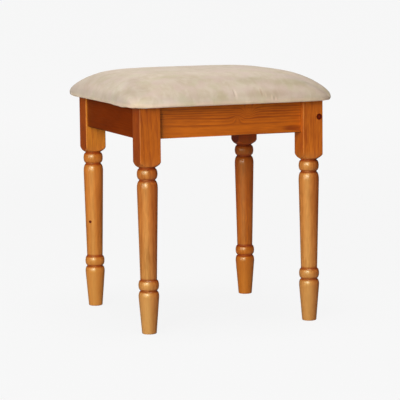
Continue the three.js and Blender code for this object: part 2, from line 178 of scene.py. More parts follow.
class StoolStageSettings(bpy.types.PropertyGroup):
    """Camera, lamps and floor."""

    camera_turn: share("Camera turn", 21.11, "Degrees to the left of the front")
    camera_rise: share("Camera rise", 7.31, "Degrees above the horizon")
    camera_roll: share("Camera roll", -0.63, "Degrees that the picture is turned")
    camera_distance: share("Camera distance", 3.735, "Metres from the point it looks at")
    camera_lens: share("Camera lens", 171.45, "Millimetres on a sensor 36 mm wide")
    look_right: share("Look right", 0.0027, "Metres right of the middle of the stool")
    look_up: share("Look up", 0.2228, "Metres above the floor")
    key: share("Key", 0.58, "Light of the wide softbox on a face turned to it")
    side: share("Side", 0.17, "Light of the softbox on the left on a face turned to it")
    accent: share("Accent", 0.25, "Light of the small softbox that the turnings mirror")
    overhead: share("Overhead", 0.8, "Light of the softbox above")
    room: share("Room", 0.2, "Light from all round")
    page: share("Page", 246, "Level of the background, 0 to 255")
    shadow: share("Shadow", 0.04, "How strongly the floor shows the shadow")
    pool: share("Pool", 0.25, "Metres round the stool where the floor is fully lit")
    bounce: share("Bounce", 0.6, "Share of its light that the lit floor throws back")
    backdrop: share("Backdrop", 20, "Degrees to either side that the backdrop reaches")
    mirrored: share("Mirrored", 0.06, "Share of the page's light that shows in reflections")
    far_mirrored: share("Far mirrored", 0.008, "Strength in reflections of the floor far off")


def setting(group):
    """The settings of one group."""
    return getattr(bpy.context.scene, group)


def clamp(value, low=0, high=1):
    """The value, or the limit that it passes."""
    return min(max(value, low), high)


# Nodes

class Term:
    """An output of a node. Arithmetic with it adds math nodes."""

    def __init__(self, nodes, socket):
        self.nodes = nodes
        self.socket = socket

    def __add__(self, other):
        return self.nodes.math("ADD", self, other)

    def __sub__(self, other):
        return self.nodes.math("SUBTRACT", self, other)

    def __mul__(self, other):
        return self.nodes.math("MULTIPLY", self, other)

    def __truediv__(self, other):
        return self.nodes.math("DIVIDE", self, other)

    def __pow__(self, other):
        return self.nodes.math("POWER", self, other)

    def __abs__(self):
        return self.nodes.math("ABSOLUTE", self)


class Nodes:
    """Adds nodes to a tree and joins them."""

    def __init__(self, tree):
        self.tree = tree

    def feed(self, node, values):
        """Joins or sets inputs of a node, by name or number."""
        for name, value in values.items():
            if isinstance(value, Term):
                self.tree.links.new(value.socket, node.inputs[name])
            else:
                node.inputs[name].default_value = value

    def add(self, kind, values=(), **choices):
        """A new node with these inputs and choices."""
        node = self.tree.nodes.new(kind)
        for name, value in choices.items():
            setattr(node, name, value)
        self.feed(node, dict(values))
        return node

    def term(self, kind, values=(), output=0, **choices):
        """One output of a new node."""
        return Term(self, self.add(kind, values, **choices).outputs[output])

    def math(self, operation, *values):
        """The result of an operation on numbers."""
        return self.term("ShaderNodeMath", enumerate(values), operation=operation)

    def vector(self, operation, *values):
        """The result of an operation on vectors."""
        output = "Value" if operation in ("LENGTH", "DOT_PRODUCT") else "Vector"
        return self.term("ShaderNodeVectorMath", enumerate(values), output, operation=operation)

    def parts(self, vector):
        """X, Y and Z of a vector."""
        node = self.add("ShaderNodeSeparateXYZ", {"Vector": vector})
        return [Term(self, socket) for socket in node.outputs]

    def noise(self, at, scale, detail=2.0, roughness=0.5, distortion=0.0, stretch=None):
        """Noise at a place, drawn out along the axes where `stretch` is small."""
        if stretch:
            at = self.vector("MULTIPLY", at, stretch)
        values = {
            "Vector": at, "Scale": scale, "Detail": detail, "Roughness": roughness,
            "Distortion": distortion,
        }
        return self.term("ShaderNodeTexNoise", values, "Fac")

    def cells(self, at, scale):
        """Distance from the middle of the nearest cell."""
        return self.term("ShaderNodeTexVoronoi", {"Vector": at, "Scale": scale}, "Distance")

    def spread(self, value, low, high, start=0.0, end=1.0, curve="SMOOTHSTEP"):
        """Start where the value is low, end where it is high, and smoothly between."""
        values = {"Value": value, "From Min": low, "From Max": high, "To Min": start, "To Max": end}
        return self.term("ShaderNodeMapRange", values, "Result", interpolation_type=curve)

    def ramp(self, value, low, high, start=0.0, end=1.0):
        """The same in a straight line."""
        return self.spread(value, low, high, start, end, "LINEAR")

    def mix(self, amount, first, second, way="MIX"):
        """The first colour with this amount of the second."""
        pair = [value if isinstance(value, Term) else (*value, 1) for value in (first, second)]
        values = {0: amount, 6: pair[0], 7: pair[1]}
        return self.term("ShaderNodeMix", values, 2, data_type="RGBA", blend_type=way)

    def tint(self, shown, amount, tint):
        """A colour with this amount of a tint, which lets a share of each channel through."""
        return self.mix(amount, shown, tint, "MULTIPLY")

    def bump(self, height, depth, strength):
        """A normal bent by the slope of a height."""
        values = {"Height": height, "Distance": depth, "Strength": strength}
        return self.term("ShaderNodeBump", values, "Normal")


def new_finish(name):
    """An empty material: its nodes, its shader and the place on the object."""
    material = bpy.data.materials.new(name)
    material.use_nodes = True
    nodes = Nodes(material.node_tree)
    shader = material.node_tree.nodes["Principled BSDF"]
    return material, nodes, shader, nodes.term("ShaderNodeTexCoord", output="Object")


def new_form(name, inputs):
    """A geometry tree: its nodes, and its inputs by name, the geometry among them."""
    tree = bpy.data.node_groups.new(name, "GeometryNodeTree")
    kinds = {"Geometry": "Geometry", **inputs}
    for label, kind in kinds.items():
        tree.interface.new_socket(label, in_out="INPUT", socket_type=f"NodeSocket{kind}")
    tree.interface.new_socket("Geometry", in_out="OUTPUT", socket_type="NodeSocketGeometry")
    nodes = Nodes(tree)
    outputs = nodes.add("NodeGroupInput").outputs
    return nodes, {label: Term(nodes, outputs[label]) for label in kinds}


def finish_form(nodes, geometry, material):
    """Ends a geometry tree: plain meshes of one material."""
    real = nodes.term("GeometryNodeRealizeInstances", {"Geometry": geometry})
    dressed = nodes.term("GeometryNodeSetMaterial", {"Geometry": real, "Material": material})
    nodes.add("NodeGroupOutput", {0: dressed})
    return nodes.tree


def grow(piece, tree, **values):
    """Gives a piece a geometry tree with these inputs, and makes the result its plain mesh."""
    modifier = piece.modifiers.new(tree.name, "NODES")
    modifier.node_group = tree
    for item in tree.interface.items_tree:
        label = item.name.replace(" ", "_").lower()
        if item.in_out == "INPUT" and label in values:
            modifier[item.identifier] = values[label]
    made_plain(piece)


# Meshes

def new_piece(name, vertices=(), faces=()):
    """An object at the origin with this mesh."""
    mesh = bpy.data.meshes.new(name)
    mesh.from_pydata(vertices, (), faces)
    mesh.update()
    piece = bpy.data.objects.new(name, mesh)
    bpy.context.collection.objects.link(piece)
    return piece


@contextmanager
def reworked(piece):
    """Opens the mesh of a piece, and writes it back after the changes."""
    work = bmesh.new()
    work.from_mesh(piece.data)
    yield work
    work.to_mesh(piece.data)
    work.free()


def face_out(piece):
    """Turns the faces of a closed piece outwards."""
    with reworked(piece) as work:
        bmesh.ops.recalc_face_normals(work, faces=work.faces)


def modified(piece, kind, **choices):
    """Gives a piece a modifier."""
    modifier = piece.modifiers.new(kind.lower(), kind)
    for name, value in choices.items():
        setattr(modifier, name, value)
    return modifier


def made_plain(piece):
    """Replaces a piece's mesh by what its modifiers make of it, and takes them off."""
    graph = bpy.context.evaluated_depsgraph_get()
    mesh = bpy.data.meshes.new_from_object(
        piece.evaluated_get(graph), preserve_all_data_layers=True, depsgraph=graph
    )
    old = piece.data
    piece.modifiers.clear()
    piece.data = mesh
    bpy.data.meshes.remove(old)
    mesh.name = piece.name


def smooth(piece, angle=35):
    """Smooth shading, with edges over this many degrees kept sharp."""
    piece.data.shade_smooth()
    piece.data.set_sharp_from_angle(angle=math.radians(angle))


def place(piece, slot, *nodes, material=None):
    """Finishes a piece and carries it on the stool in place of these nodes."""
    if material:
        piece.data.materials.clear()
        piece.data.materials.append(material)
    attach(piece, BODY)
    if nodes:
        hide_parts(*nodes)


def dress_node(name, material):
    """Gives a node that stays a better material."""
    for material_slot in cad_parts[name].material_slots:
        material_slot.material = material


def remove(piece):
    """Deletes a helper object and its mesh."""
    mesh = piece.data
    bpy.data.objects.remove(piece)
    bpy.data.meshes.remove(mesh)


# Finishes

def axis_distance(nodes, at, centre, way):
    """Distance from a line through a centre, as for a knot that runs out along `way`."""
    offset = nodes.vector("SUBTRACT", at, centre)
    return nodes.vector("LENGTH", nodes.vector("CROSS_PRODUCT", offset, way))


def pine(name, early, late, pith, lean, ring=3.6, lacquer=True, knots=(), swirls=(),
         figure=1.0, contrast=1.0, mottle=1.7, gloss=0.9, turned=None, sides=None):
    """Pine: growth rings round a pith that runs along the local Z of `lean`, fibres and knots.

    A swirl is a centre, a way through it, its reach and how far the rings move there. A knot is
    a centre, a way and a size. `turned` is what turned_stain takes. `sides` is a place along X,
    how far the side faces are from it and their tint, which paints the light and shade of those
    faces.
    """
    material, nodes, shader, at = new_finish(name)
    values = {"Vector": at, "Location": pith, "Rotation": lean}
    tree_place = nodes.term("ShaderNodeMapping", values, vector_type="TEXTURE")

    def grain(along, scale, *choices):
        return nodes.noise(tree_place, scale, *choices, stretch=(1, 1, along))

    # Distance from the pith, which wanders a little along the trunk
    radius = nodes.vector("LENGTH", nodes.vector("MULTIPLY", tree_place, (1, 1, 0)))
    radius += grain(0.22, 11) * (14 * MM * figure)
    radius += grain(0.1, 60, 2, 0.6) * (3.4 * MM)
    for centre, way, reach, rise in swirls:
        away = axis_distance(nodes, at, centre, way) / reach
        radius += (away ** 2 + 1) ** -2 * rise
    # Each year goes slowly from early to late wood and ends sharply, some years darker
    rings = radius / (ring * MM)
    step = nodes.math("FRACT", rings)
    values = {"W": nodes.math("FLOOR", rings)}
    year = nodes.term("ShaderNodeTexWhiteNoise", values, "Value", noise_dimensions="1D")
    band = step ** 2.2 * nodes.spread(step, 1, 0.85)
    band *= nodes.ramp(year, 0, 1, 0.3 * contrast, contrast)
    # Streaks, fibres, flecks and blotches
    fibre = grain(0.035, 950, 3, 0.6)
    depth = band
    for layer, amount in (
        (grain(0.09, 230), 0.8),
        (fibre, 0.5),
        (grain(0.13, 400, 2, 0.5, 0.3), mottle),
        (grain(0.4, 26), 1.2),
    ):
        depth += (layer - 0.5) * amount
    depth = nodes.ramp(depth, -0.3, 0.9)
    shown = nodes.mix(depth, early, late)
    if turned:
        shown = turned_stain(nodes, at, depth, shown, **turned)
    # Painted light and shade on the side faces of the block, the faces that look along X
    if sides:
        middle, reach, tint = sides
        apart = abs(nodes.parts(at)[0] - middle)
        shown = nodes.tint(shown, nodes.spread(apart, reach - 0.9 * MM, reach - 0.1 * MM), tint)
    smoothest, roughest = (0.42, 0.5) if lacquer else (0.62, 0.8)
    rough = nodes.spread(fibre, 0.3, 0.7, smoothest, roughest)
    for centre, way, size in knots:
        ragged = nodes.noise(at, 420) * (0.9 * MM) + axis_distance(nodes, at, centre, way)
        rim = nodes.spread(ragged, size * 1.35, size * 0.95)
        core = nodes.spread(ragged, size * 0.7, size * 0.3, 0, 0.3)
        shown = nodes.mix(rim, shown, setting("stool_colours").knot)
        shown = nodes.mix(core, shown, late)
        rough = nodes.ramp(rim, 0, 1, rough, 0.2)
    relief = nodes.bump(band * 0.6 + fibre, (0.03 if lacquer else 0.16) * MM, 0.6)
    nodes.feed(shader, {"Base Color": shown, "Roughness": rough, "Normal": relief})
    if lacquer:
        nodes.feed(shader, {
            "IOR": 1.6, "Specular IOR Level": 0.85 * gloss, "Specular Tint": (0.9, 1, 0.36, 1),
            "Coat Weight": 0.8 * gloss, "Coat Roughness": 0.18,
        })
    return material


def turned_stain(nodes, at, depth, shown, top, foot, stains, grooves, right_side_light_and_shade, foot_bounce_light):
    """Colour of a leg that is turned up to `top`, round an axis through `foot`.

    The turning takes the two `stains`. A tint on its right side as the camera sees it paints its
    shade, and on the back left leg paints light there. Towards the foot the turning gets calmer, and
    paler by a tint that paints the light thrown up from the floor. The leg is darker and redder in
    the grooves.
    """
    level = nodes.parts(at)[2]
    calm_depth, seen_right, groove_tint = 0.3, (0.93, -0.36, 0), (0.66, 0.3, 0.08)
    depth -= (depth - calm_depth) * nodes.ramp(level, 0.36 * top, 0.2 * top, 0, 0.6)
    below = nodes.spread(level, top + 12 * MM, top - 22 * MM)
    shown = nodes.mix(below, shown, nodes.mix(depth, *stains))
    across = nodes.vector("DOT_PRODUCT", nodes.vector("SUBTRACT", at, foot), seen_right)
    # Painted shade on the right side of the turning as the camera sees it; on the back left leg the
    # tint paints light there
    shown = nodes.tint(shown, nodes.ramp(across, 0, 19 * MM) * below, right_side_light_and_shade)
    # Painted light: the turning gets paler towards the foot, for the light thrown up from the floor
    shown = nodes.tint(shown, nodes.ramp(level, 0.7 * top, 0.1 * top), foot_bounce_light)
    # Darker and redder in the grooves
    off = abs(level - grooves[0])
    for groove in grooves[1:]:
        off = nodes.math("MINIMUM", off, abs(level - groove))
    return nodes.tint(shown, nodes.spread(off, 5 * MM, 0.6 * MM), groove_tint)


# Patches where the nap was brushed one way or the other, painted shade on the front shoulder, at the
# front left corner and at the right end, and thin strokes of painted shade and highlight for small
# creases along the front: the middle and the reach in millimetres, and the tint.
NAP_AND_PAINTED_LIGHT = (
    ((-195, -94, 459), (25, 46, 16), (1.08, 1.11, 1.13)),
    ((-207, 10, 444), (14, 130, 18), (1.09, 1.07, 1.08)),
    ((-160, -204, 432), (46, 20, 9), (1.12, 1.15, 1.17)),
    # Darker: painted shade on the front shoulder, at the front left corner and at the right end
    ((-176, -118, 468), (26, 30, 22), (0.92, 0.91, 0.9)),
    ((-186, -168, 452), (30, 40, 16), (0.87, 0.87, 0.86)),
    ((-96, -134, 475), (60, 22, 9), (0.93, 0.92, 0.88)),
    ((42, -166, 466), (40, 22, 10), (0.9, 0.92, 0.86)),
    ((119, -177, 460), (60, 22, 12), (0.89, 0.91, 0.83)),
    ((200, -190, 440), (36, 60, 18), (0.88, 0.86, 0.8)),
    ((-29, -201, 443), (14, 30, 14), (0.93, 0.95, 0.86)),
    ((-2, -200, 447), (5, 20, 16), (1.06, 1.07, 1.08)),
    ((52, -200, 446), (7, 20, 15), (1.06, 1.05, 1.06)),
    ((78, -204, 440), (6, 20, 12), (0.92, 0.92, 0.88)),
    ((-207, 71, 446), (20, 60, 16), (0.96, 0.94, 0.94)),
    ((56, -206, 443), (62, 20, 11), (0.93, 0.91, 0.86)),
    # Thin strokes: painted shade and highlight of small creases along the front
    ((-5, -200, 447), (1.8, 16, 9), (0.8, 0.78, 0.76)),
    ((-1, -202, 446), (2.2, 16, 10), (1.14, 1.13, 1.12)),
    ((50, -200, 445), (2.4, 18, 10), (0.86, 0.78, 0.76)),
    ((58, -204, 440), (2.4, 14, 6), (1.12, 1.12, 1.1)),
    ((69, -205, 436), (2, 12, 5), (1.18, 1.17, 1.16)),
    ((73, -205, 434), (1.8, 12, 5), (0.82, 0.8, 0.78)),
    ((77, -205, 433), (2, 12, 4), (1.16, 1.15, 1.14)),
)


def cloth_nap(name):
    """Beige pile with patches where the nap lies one way or the other, with painted light and shade.
    """
    material, nodes, shader, at = new_finish(name)
    colours = setting("stool_colours")
    brushed = nodes.noise(at, 70, 2, 0.5, 0.5, stretch=(1, 0.6, 0.45))
    tufts = nodes.noise(at, 900, 2, 0.6)
    lie = brushed * 0.55 + nodes.noise(at, 24, 2, 0.5, 0.4) * 0.45
    shown = nodes.mix(nodes.spread(lie, 0.36, 0.64), colours.fabric_shade, colours.fabric_light)
    shown = nodes.mix(0.45, shown, colours.fabric)
    for shift, scale, low, high, most, cast in (
        ((3, 1, 2), 30, 0.42, 0.66, 0.6, colours.fabric_pink),
        ((7, 4, 5), 34, 0.5, 0.7, 0.45, colours.fabric_green),
    ):
        patch = nodes.noise(nodes.vector("ADD", at, shift), scale)
        shown = nodes.mix(nodes.spread(patch, low, high, 0, most), shown, cast)
    ragged = nodes.noise(at, 60, 3, 0.6, 0.6) * 0.9 - 0.45
    for middle, reach, tint in NAP_AND_PAINTED_LIGHT:
        off = nodes.vector("SUBTRACT", at, Vector(middle) * MM)
        off = nodes.vector("LENGTH", nodes.vector("DIVIDE", off, Vector(reach) * MM)) + ragged
        shown = nodes.tint(shown, nodes.spread(off, 1.15, 0.35), tint)
    x, _, z = nodes.parts(at)
    bottom, top = (corner.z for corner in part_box("seat_cover"))
    # Painted shade on the flanks below the top of the crown and towards the right end, painted light
    # along the lip and on the band over it
    painted_flank_shade = nodes.spread(z, top - 0.8 * MM, top - 15.8 * MM)
    lip = nodes.spread(z, bottom + 10.3 * MM, bottom + 1.3 * MM)
    painted_light_over_lip = nodes.spread(z, bottom + 17.8 * MM, bottom + 8.3 * MM)
    right = nodes.ramp(x, -0.08, 0.2)
    for zone, tint in (
        (painted_flank_shade, (0.87, 0.87, 0.87)), (lip, (1.46, 1.38, 1.27)),
        (painted_light_over_lip, (1.12, 1.12, 1.11)), (right, (0.95, 0.94, 0.93)),
    ):
        shown = nodes.tint(shown, zone, tint)
    values = {0: shown, "Scale": nodes.ramp(tufts, 0.25, 0.75, 0.95, 1.04)}
    nodes.feed(shader, {
        "Base Color": nodes.term("ShaderNodeVectorMath", values, operation="SCALE"),
        "Roughness": 0.92, "Specular IOR Level": 0.2, "Sheen Weight": 0.12,
        "Sheen Roughness": 0.5, "Normal": nodes.bump(brushed * 1.4 + tufts, 0.3 * MM, 0.6),
    })
    return material


def small_finish(name, tint, other, pattern, relief, strength, rough, sheen=0):
    """A finish that runs from a colour to a share of it. `pattern` gives the mix and the relief."""
    material, nodes, shader, at = new_finish(name)
    amount, height = pattern(nodes, at)
    nodes.feed(shader, {
        "Base Color": nodes.mix(amount, tint, [other * channel for channel in tint]),
        "Normal": nodes.bump(height, relief * MM, strength), "Roughness": rough,
        "Sheen Weight": sheen,
    })
    return material


def zinc_plate(name):
    """Zinc on steel, a little cloudy."""
    material, nodes, shader, at = new_finish(name)
    tint = setting("stool_colours").zinc
    cloud = nodes.noise(at, 700, 3, 0.6)
    nodes.feed(shader, {
        "Base Color": nodes.mix(cloud, tint, [0.8 * channel for channel in tint]), "Metallic": 1,
        "Roughness": nodes.spread(cloud, 0.3, 0.7, 0.28, 0.45),
        "Normal": nodes.bump(cloud, 0.03 * MM, 0.5),
    })
    return material


def dimpled(nodes, at):
    """Pressed lining: small dimples with hair in them."""
    dimple = nodes.spread(nodes.cells(at, 620), 0.1, 0.6)
    hair = nodes.noise(at, 1500, 3, 0.7, stretch=(1, 0.3, 1))
    return hair * dimple, dimple + hair


def celled(nodes, at):
    """Foam with open cells."""
    cells = nodes.cells(at, 900)
    return nodes.spread(cells, 0.5, 0.15), cells


def fibrous(nodes, at):
    """Board of pressed fibres."""
    fibres = nodes.noise(at, 1300, 4, 0.7)
    return nodes.noise(at, 60) * 0.4 + fibres * 0.6, fibres


def flecked(nodes, at):
    """Beech with short dark flecks."""
    flecks = nodes.spread(nodes.noise(at, 900, 3, 0.7), 0.55, 0.75)
    return flecks, flecks


# Legs

def bend(start, end, radius_share, height_share, steps):
    """Points of a curve from start to end, start left out, bent towards a point between them."""
    (r0, z0), (r1, z1) = start, end
    pull = (min(r0, r1) + abs(r1 - r0) * radius_share, z0 + (z1 - z0) * height_share)
    points = []
    for step in range(1, steps + 1):
        t = step / steps
        weights = ((1 - t) ** 2, 2 * t * (1 - t), t * t)
        points.append([
            sum(weight * part for weight, part in zip(weights, parts))
            for parts in zip(start, pull, end)
        ])
    return points


def straight(start, end, steps):
    """Points of a line from start to end, start left out."""
    return [
        [a + (b - a) * step / steps for a, b in zip(start, end)] for step in range(1, steps + 1)
    ]


def bead(groove, radius, bottom, height, steps=20):
    """Points of a bead: half an ellipse standing out of its groove, from its lower end up."""
    points = []
    for step in range(steps + 1):
        angle = math.pi * (step / steps - 0.5)
        out = groove + (radius - groove) * math.cos(angle)
        points.append((out, bottom + height / 2 + height / 2 * math.sin(angle)))
    return points


def leg_profile(sizes, side, height):
    """Half section of the turned leg, as radius and height, from the floor to the top."""
    clear = side / math.sqrt(2)
    block_bottom = height - sizes.block_length
    neck_top = block_bottom - sizes.shoulder_height
    upper_bead_bottom = neck_top - sizes.neck_height - sizes.upper_bead_height
    upper_cove_bottom = upper_bead_bottom - sizes.upper_cove_height
    shaft_top = upper_cove_bottom - sizes.vase_shoulder
    lower_cove_bottom = sizes.foot_height + sizes.foot_shoulder
    lower_bead_bottom = lower_cove_bottom + sizes.lower_cove_height
    shaft_bottom = lower_bead_bottom + sizes.lower_bead_height + sizes.ankle_height

    points = [(0, 0), (sizes.foot_end_radius - sizes.foot_easing, 0)]
    points += bend(points[-1], (sizes.foot_end_radius, sizes.foot_easing), 1, 0, 5)
    points += bend(points[-1], (sizes.foot_radius, sizes.foot_height), 0.69, 0.676, 20)
    points += bend(points[-1], (sizes.lower_cove_radius, lower_cove_bottom), 0.97, 0.83, 12)
    points += bead(
        sizes.lower_cove_radius, sizes.lower_bead_radius, lower_bead_bottom, sizes.lower_bead_height
    )
    points += straight(points[-1], (sizes.ankle_radius, shaft_bottom), 2)
    points += bend(points[-1], (sizes.vase_radius, shaft_top), 0.776, 0.762, 28)
    points += bend(points[-1], (sizes.upper_cove_radius, upper_cove_bottom), 0.99, 0.82, 14)
    points += bead(
        sizes.upper_cove_radius, sizes.upper_bead_radius, upper_bead_bottom, sizes.upper_bead_height
    )
    points += straight(points[-1], (sizes.neck_radius, neck_top), 2)
    points += bend(points[-1], (clear, block_bottom), 0.73, 0.49, 36)
    points += straight(points[-1], (clear + sizes.edge_softness, height), 16)
    return points + [(0, height)]


def leg_grooves(sizes, height):
    """Heights of the grooves beside the beads."""
    neck = height - sizes.block_length - sizes.shoulder_height - sizes.neck_height / 2
    under_bead = neck - sizes.upper_bead_height - (sizes.neck_height + sizes.upper_cove_height) / 2
    over_foot = sizes.foot_height + sizes.foot_shoulder + sizes.lower_cove_height / 2
    over_bead = over_foot + sizes.lower_bead_height + sizes.ankle_height / 2
    return neck, under_bead, over_foot, over_bead


def leg_form():
    """Tree that turns a half section round a leg's axis and cuts it to the square block."""
    nodes, given = new_form("turned_leg", {
        "Block Side": "Float", "Arris Radius": "Float", "Edge Softness": "Float",
        "Columns": "Int", "Crowding": "Float", "Foot": "Vector", "Material": "Material",
    })
    section, columns, arris = given["Geometry"], given["Columns"], given["Arris Radius"]
    rings = nodes.term("GeometryNodeAttributeDomainSize", {"Geometry": section}, "Point Count")
    values = {"Vertices X": columns + 1, "Vertices Y": rings}
    sheet = nodes.term("GeometryNodeMeshGrid", values, "Mesh")
    index = nodes.term("GeometryNodeInputIndex")
    column = nodes.math("FLOOR", index / rings)
    where = nodes.term("GeometryNodeInputPosition")
    values = {"Geometry": section, "Value": where, "Index": index - column * rings}
    point = nodes.term("GeometryNodeSampleIndex", values, data_type="FLOAT_VECTOR", domain="POINT")
    out, _, height = nodes.parts(point)

    # The turn of each column, crowded towards the four arrises
    turn = column / columns * math.tau
    turn += nodes.math("SINE", turn * 4) * (given["Crowding"] / 4)
    cosine, sine = nodes.math("COSINE", turn), nodes.math("SINE", turn)
    a, b = abs(cosine), abs(sine)
    far, near = nodes.math("MAXIMUM", a, b), nodes.math("MINIMUM", a, b)

    # The section of the square block with its rounded arrises, as a radius at this turn
    half = given["Block Side"] * 0.5
    core = half - arris
    to_flat = half / far
    along = core * (a + b)
    under = along ** 2 - core ** 2 * 2 + arris * arris
    to_arris = along + nodes.math("SQRT", nodes.math("MAXIMUM", under, 0))
    on_flat = nodes.math("LESS_THAN", near * to_flat, core)
    values = {0: on_flat, 2: to_arris, 3: to_flat}
    square = nodes.term("ShaderNodeMix", values, data_type="FLOAT")
    radius = nodes.math("SMOOTH_MIN", out, square, given["Edge Softness"])

    values = {"X": radius * cosine, "Y": radius * sine, "Z": height}
    spot = nodes.vector("ADD", nodes.term("ShaderNodeCombineXYZ", values), given["Foot"])
    turned = nodes.term("GeometryNodeSetPosition", {"Geometry": sheet, "Position": spot})
    values = {"Geometry": turned, "Distance": 0.004 * MM}
    closed = nodes.term("GeometryNodeMergeByDistance", values)
    return finish_form(nodes, closed, given["Material"])


# The grain of each leg, and the tints of its block, of the block's side faces, which paint their
# light and shade, of the turning, of the turning's right side as the camera sees it, which paints
# its shade (light on the back left leg), and towards the foot, which paints the light thrown up from
# the floor. A knot is a centre, a way and a size.
LEGS = {
    "front_left": {
        "pith": (-0.235, -0.285, 0.1), "lean": (0.03, -0.012, 0), "contrast": 1.1, "mottle": 1.6,
        "block": (0.85, 0.72, 0.4), "faces": (0.82, 0.62, 0.1), "turning": (0.98, 1, 1),
        "right_side_light_and_shade": (0.9, 0.52, 0.25), "foot_bounce_light": (1.05, 1.6, 2.8), "knots": (),
    },
    "front_right": {
        "pith": (0.09, -0.26, 0.1), "lean": (0.02, 0.02, 0), "contrast": 0.6, "mottle": 1.6,
        "block": (0.96, 0.88, 0.7), "faces": (1.05, 1, 0.4), "turning": (0.97, 1.1, 1.3),
        "right_side_light_and_shade": (0.84, 0.46, 0.2), "foot_bounce_light": (1.03, 1.32, 1.8),
        "knots": [((0.1765, -0.1815, 0.3932), (0, 1, 0.1), 5.4 * MM)],
    },
    "back_left": {
        "pith": (-0.13, 0.06, 0.1), "lean": (-0.02, 0.03, 0), "contrast": 0.6, "mottle": 0.8,
        "block": (1.16, 1.5, 2), "faces": (0.66, 0.34, 0.03), "turning": (1.08, 1.1, 0.95),
        "right_side_light_and_shade": (1.3, 1.12, 0.9), "foot_bounce_light": (1.03, 1.3, 1.7),
        "knots": [((-0.1772, 0.146, 0.1717), (0.36, 0.93, 0), 2.8 * MM)],
    },
    "back_right": {
        "pith": (0.26, 0.08, 0.1), "lean": (0.025, -0.02, 0), "contrast": 0.6, "mottle": 1.6,
        "block": (0.76, 0.18, 0.01), "faces": (0.7, 0.4, 0.2), "turning": (1.12, 0.7, 0.14),
        "right_side_light_and_shade": (0.88, 0.8, 0.55), "foot_bounce_light": (1.03, 1.5, 2.2), "knots": (),
    },
}


def tinted(woods, tint):
    """Early and late wood through a stain that lets this share of each channel through."""
    return [[channel * part for channel, part in zip(wood, tint)] for wood in woods]


class StoolLegs(bpy.types.Operator):
    """Turns the four legs, each with its own grain"""

    bl_idname = "object.stool_legs"
    bl_label = "Turned Legs"

    def execute(self, context):
        sizes, colours = setting("stool_legs"), setting("stool_colours")
        woods = colours.early_wood, colours.late_wood
        turned_woods = colours.turned_early_wood, colours.turned_late_wood
        form = leg_form()
        for corner, look in LEGS.items():
            node = f"leg_{corner}"
            low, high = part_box(node)
            side = high.x - low.x
            foot = (low + high) / 2
            foot.z = 0
            profile = leg_profile(sizes, side, high.z)
            leg = new_piece(f"turned_{node}", [(radius, 0, height) for radius, height in profile])
            turned = {
                "top": high.z - sizes.block_length, "foot": foot,
                "stains": tinted(turned_woods, look["turning"]),
                "grooves": leg_grooves(sizes, high.z),
                "right_side_light_and_shade": look["right_side_light_and_shade"], "foot_bounce_light": look["foot_bounce_light"],
            }
            material = pine(
                f"stained_{node}", *tinted(woods, look["block"]), look["pith"], look["lean"],
                ring=5.5, knots=look["knots"], contrast=look["contrast"], mottle=look["mottle"],
                turned=turned, sides=(foot.x, side / 2, look["faces"]),
            )
            grow(
                leg, form, block_side=side, arris_radius=sizes.arris_radius,
                edge_softness=sizes.edge_softness, columns=sizes.columns,
                crowding=sizes.crowding, foot=tuple(foot), material=material,
            )
            face_out(leg)
            smooth(leg)
            place(leg, "leg_wood", node)
        return {"FINISHED"}


# Rails and corner blocks

def eased_board(name, low, high, axis, easing=1.5 * MM):
    """Board with its four long edges rounded. `axis` is the one it runs along: 0 or 1."""
    board = new_piece(name)
    with reworked(board) as work:
        bmesh.ops.create_cube(work, size=1)
        for vertex in work.verts:
            vertex.co = [low[i] if vertex.co[i] < 0 else high[i] for i in range(3)]
        edges = [
            edge for edge in work.edges
            if abs((edge.verts[0].co - edge.verts[1].co)[axis]) > MM
        ]
        bmesh.ops.bevel(work, geom=edges, offset=easing, segments=5, profile=0.5, affect="EDGES")
    board.data.shade_smooth()
    modified(board, "WEIGHTED_NORMAL")
    made_plain(board)
    return board


class StoolRails(bpy.types.Operator):
    """Fits the four rails between the legs"""

    bl_idname = "object.stool_rails"
    bl_label = "Rails"

    def execute(self, context):
        colours = setting("stool_colours")
        # The grain slips a little off each rail's length
        slip_x, slip_y, slip_z = 0.012, 0.015, 0.01
        cross = {
            "early": colours.rail_early_wood, "late": colours.rail_late_wood,
            "lean": (slip_x, math.pi / 2 + slip_y, slip_z), "contrast": 1.5, "gloss": 0.85,
        }
        side = {
            "early": colours.side_early_wood, "late": colours.side_late_wood,
            "lean": (math.pi / 2 + slip_x, slip_y, slip_z), "contrast": 0.7, "gloss": 0.12,
        }
        swirl = ((0.036, -0.17, 0.411), (0.25, 1, 0.25), 11 * MM, 18 * MM)
        hook = ((0.014, -0.17, 0.395), (0, 1, 0), 9 * MM, -7 * MM)
        for node, look, pith, swirls in (
            ("rail_front", cross, (0.02, -0.14, 0.372), (swirl, hook)),
            ("rail_back", cross, (0.03, 0.21, 0.35), ()),
            ("rail_left", side, (-0.22, 0.02, 0.35), ()),
            ("rail_right", side, (0.21, -0.03, 0.36), ()),
        ):
            low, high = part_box(node)
            axis, slot = (0, "cross_rail_wood") if look is cross else (1, "side_rail_wood")
            rail = eased_board(f"eased_{node}", low, high, axis)
            material = pine(
                f"stained_{node}", pith=pith, ring=3.3, swirls=swirls, figure=0.5, mottle=0.7, **look
            )
            place(rail, slot, node, material=material)
        return {"FINISHED"}


class StoolCornerBlocks(bpy.types.Operator):
    """Finishes the corner blocks inside the frame in bare pine"""

    bl_idname = "object.stool_corner_blocks"
    bl_label = "Corner Blocks"

    def execute(self, context):
        colours = setting("stool_colours")
        early, late = colours.bare_early_wood, colours.bare_late_wood
        for corner, (side, end) in CORNERS.items():
            node = f"corner_block_{corner}"
            low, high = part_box(node)
            pith = (low + high) / 2 + Vector((side * 0.05, end * 0.03, 0.045))
            lean = (0, math.pi / 2, -side * end * math.pi / 4)
            material = pine(f"bare_{node}", early, late, pith, lean, ring=2.6, lacquer=False)
            dress_node(node, material)
        return {"FINISHED"}


# Fasteners

